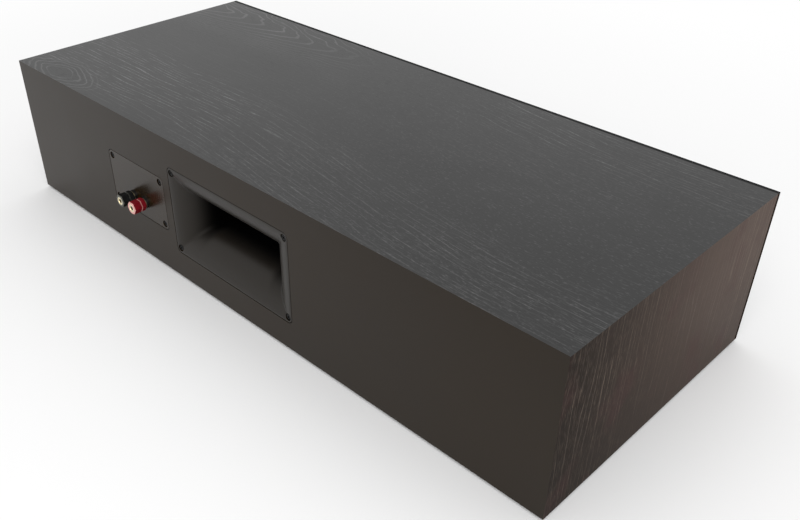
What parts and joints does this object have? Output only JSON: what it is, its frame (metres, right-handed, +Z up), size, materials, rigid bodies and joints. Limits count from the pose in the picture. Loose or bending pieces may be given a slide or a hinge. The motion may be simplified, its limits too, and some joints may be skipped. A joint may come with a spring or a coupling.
{
  "type": "center channel speaker",
  "caption": "Wide low loudspeaker cabinet in black ash vinyl with flush front drivers, a wide flared rear port and a terminal plate with screw-down binding posts.",
  "frame": {"origin": "under the middle of the whole object, on the plane the feet stand on", "axes": "+X along the cabinet's length, +Y towards the rear panel, +Z up"},
  "size_m": [0.66, 0.2916, 0.143],
  "materials": {
    "vinyl_top": "black ash vinyl, grain along the length",
    "vinyl_side": "black ash vinyl, upright grain",
    "vinyl_base": "black vinyl",
    "rear_vinyl": "smooth satin dark brown-grey vinyl",
    "baffle_paint": "satin black",
    "bare_board": "bare fibreboard",
    "foot_rubber": "matt black",
    "port_plastic": "fine matt black",
    "plate_plastic": "satin black",
    "panel_screw": "black oxide",
    "driver_screw": "black oxide",
    "post_brass": "gold plated",
    "collar_plastic": "gloss black",
    "cap_black": "gloss black",
    "cap_red": "gloss red",
    "nut_brass": "plated",
    "frame_metal": "cast, black paint",
    "surround_rubber": "satin black",
    "cone_fibre": "dark grey fibre",
    "coil_copper": "enamelled winding",
    "spider_cloth": "resin-set cloth",
    "motor_steel": "zinc plated",
    "ferrite": "bare ferrite",
    "guide_plastic": "satin black",
    "dome_film": "silk film",
    "circuit_board": "green solder mask",
    "wound_wire": "enamelled wire",
    "film_case": "film capacitor case",
    "cement": "cement",
    "nylon": "natural nylon",
    "lead_sleeve": "insulated wire"
  },
  "bodies": {
    "cabinet": {"top_panel": "vinyl_top", "left_panel": "vinyl_side", "right_panel": "vinyl_side", "bottom_panel": "vinyl_base", "back_panel": "rear_vinyl", "front_baffle": "baffle_paint", "left_brace": "bare_board", "right_brace": "bare_board", "feet": "foot_rubber", "port_moulding": "port_plastic", "port_screws": "panel_screw", "terminal_plate": "plate_plastic", "terminal_screws": "panel_screw", "post_nuts": "nut_brass", "black_post_collar": "collar_plastic", "black_post_stud": "post_brass", "red_post_collar": "collar_plastic", "red_post_stud": "post_brass", "woofer_1_basket": "frame_metal", "woofer_1_surround": "surround_rubber", "woofer_1_spider": "spider_cloth", "woofer_2_basket": "frame_metal", "woofer_2_surround": "surround_rubber", "woofer_2_spider": "spider_cloth", "woofer_3_basket": "frame_metal", "woofer_3_surround": "surround_rubber", "woofer_3_spider": "spider_cloth", "woofer_4_basket": "frame_metal", "woofer_4_surround": "surround_rubber", "woofer_4_spider": "spider_cloth", "woofer_top_plates": "motor_steel", "woofer_magnets": "ferrite", "woofer_yokes": "motor_steel", "woofer_screws": "driver_screw", "tweeter_waveguide": "guide_plastic", "tweeter_dome": "dome_film", "tweeter_top_plate": "motor_steel", "tweeter_magnet": "ferrite", "tweeter_yoke": "motor_steel", "tweeter_screws": "driver_screw", "crossover_board": "circuit_board", "crossover_standoffs": "nylon", "woofer_inductor": "wound_wire", "tweeter_inductor": "wound_wire", "crossover_capacitors": "film_case", "crossover_resistor": "cement", "input_leads": "lead_sleeve", "driver_leads": "lead_sleeve"},
    "woofer_1_diaphragm": {"woofer_1_cone": "cone_fibre", "woofer_1_voice_coil": "coil_copper"},
    "woofer_2_diaphragm": {"woofer_2_cone": "cone_fibre", "woofer_2_voice_coil": "coil_copper"},
    "woofer_3_diaphragm": {"woofer_3_cone": "cone_fibre", "woofer_3_voice_coil": "coil_copper"},
    "woofer_4_diaphragm": {"woofer_4_cone": "cone_fibre", "woofer_4_voice_coil": "coil_copper"},
    "black_nut_core": {"black_post_insert": "post_brass"},
    "black_cap": {"black_post_cap": "cap_black"},
    "red_nut_core": {"red_post_insert": "post_brass"},
    "red_cap": {"red_post_cap": "cap_red"}
  },
  "joints": [
    {"name": "woofer_1_travel", "type": "slide", "parent": "cabinet", "child": "woofer_1_diaphragm", "axis": [0, -1, 0], "range_m": [-0.004, 0.004], "stiffness_N_per_m": 1000, "deforming": ["woofer_1_surround", "woofer_1_spider"]},
    {"name": "woofer_2_travel", "type": "slide", "parent": "cabinet", "child": "woofer_2_diaphragm", "axis": [0, -1, 0], "range_m": [-0.004, 0.004], "stiffness_N_per_m": 1000, "deforming": ["woofer_2_surround", "woofer_2_spider"]},
    {"name": "woofer_3_travel", "type": "slide", "parent": "cabinet", "child": "woofer_3_diaphragm", "axis": [0, -1, 0], "range_m": [-0.004, 0.004], "stiffness_N_per_m": 1000, "deforming": ["woofer_3_surround", "woofer_3_spider"]},
    {"name": "woofer_4_travel", "type": "slide", "parent": "cabinet", "child": "woofer_4_diaphragm", "axis": [0, -1, 0], "range_m": [-0.004, 0.004], "stiffness_N_per_m": 1000, "deforming": ["woofer_4_surround", "woofer_4_spider"]},
    {"name": "black_cap_advance", "type": "slide", "parent": "cabinet", "child": "black_nut_core", "axis": [0, 1, 0], "range_m": [0, 0.006]},
    {"name": "black_cap_turn", "type": "hinge", "parent": "black_nut_core", "child": "black_cap", "pos_m": [0.1425, 0.13825, 0.0627], "axis": [0, 1, 0], "range_deg": [0, 2160]},
    {"name": "red_cap_advance", "type": "slide", "parent": "cabinet", "child": "red_nut_core", "axis": [0, 1, 0], "range_m": [0, 0.006]},
    {"name": "red_cap_turn", "type": "hinge", "parent": "red_nut_core", "child": "red_cap", "pos_m": [0.1235, 0.13825, 0.0627], "axis": [0, 1, 0], "range_deg": [0, 2160]}
  ],
  "couplings": [
    {"joint": "black_cap_turn", "follows": "black_cap_advance", "rad_per_m": 6283.2},
    {"joint": "red_cap_turn", "follows": "red_cap_advance", "rad_per_m": 6283.2}
  ]
}
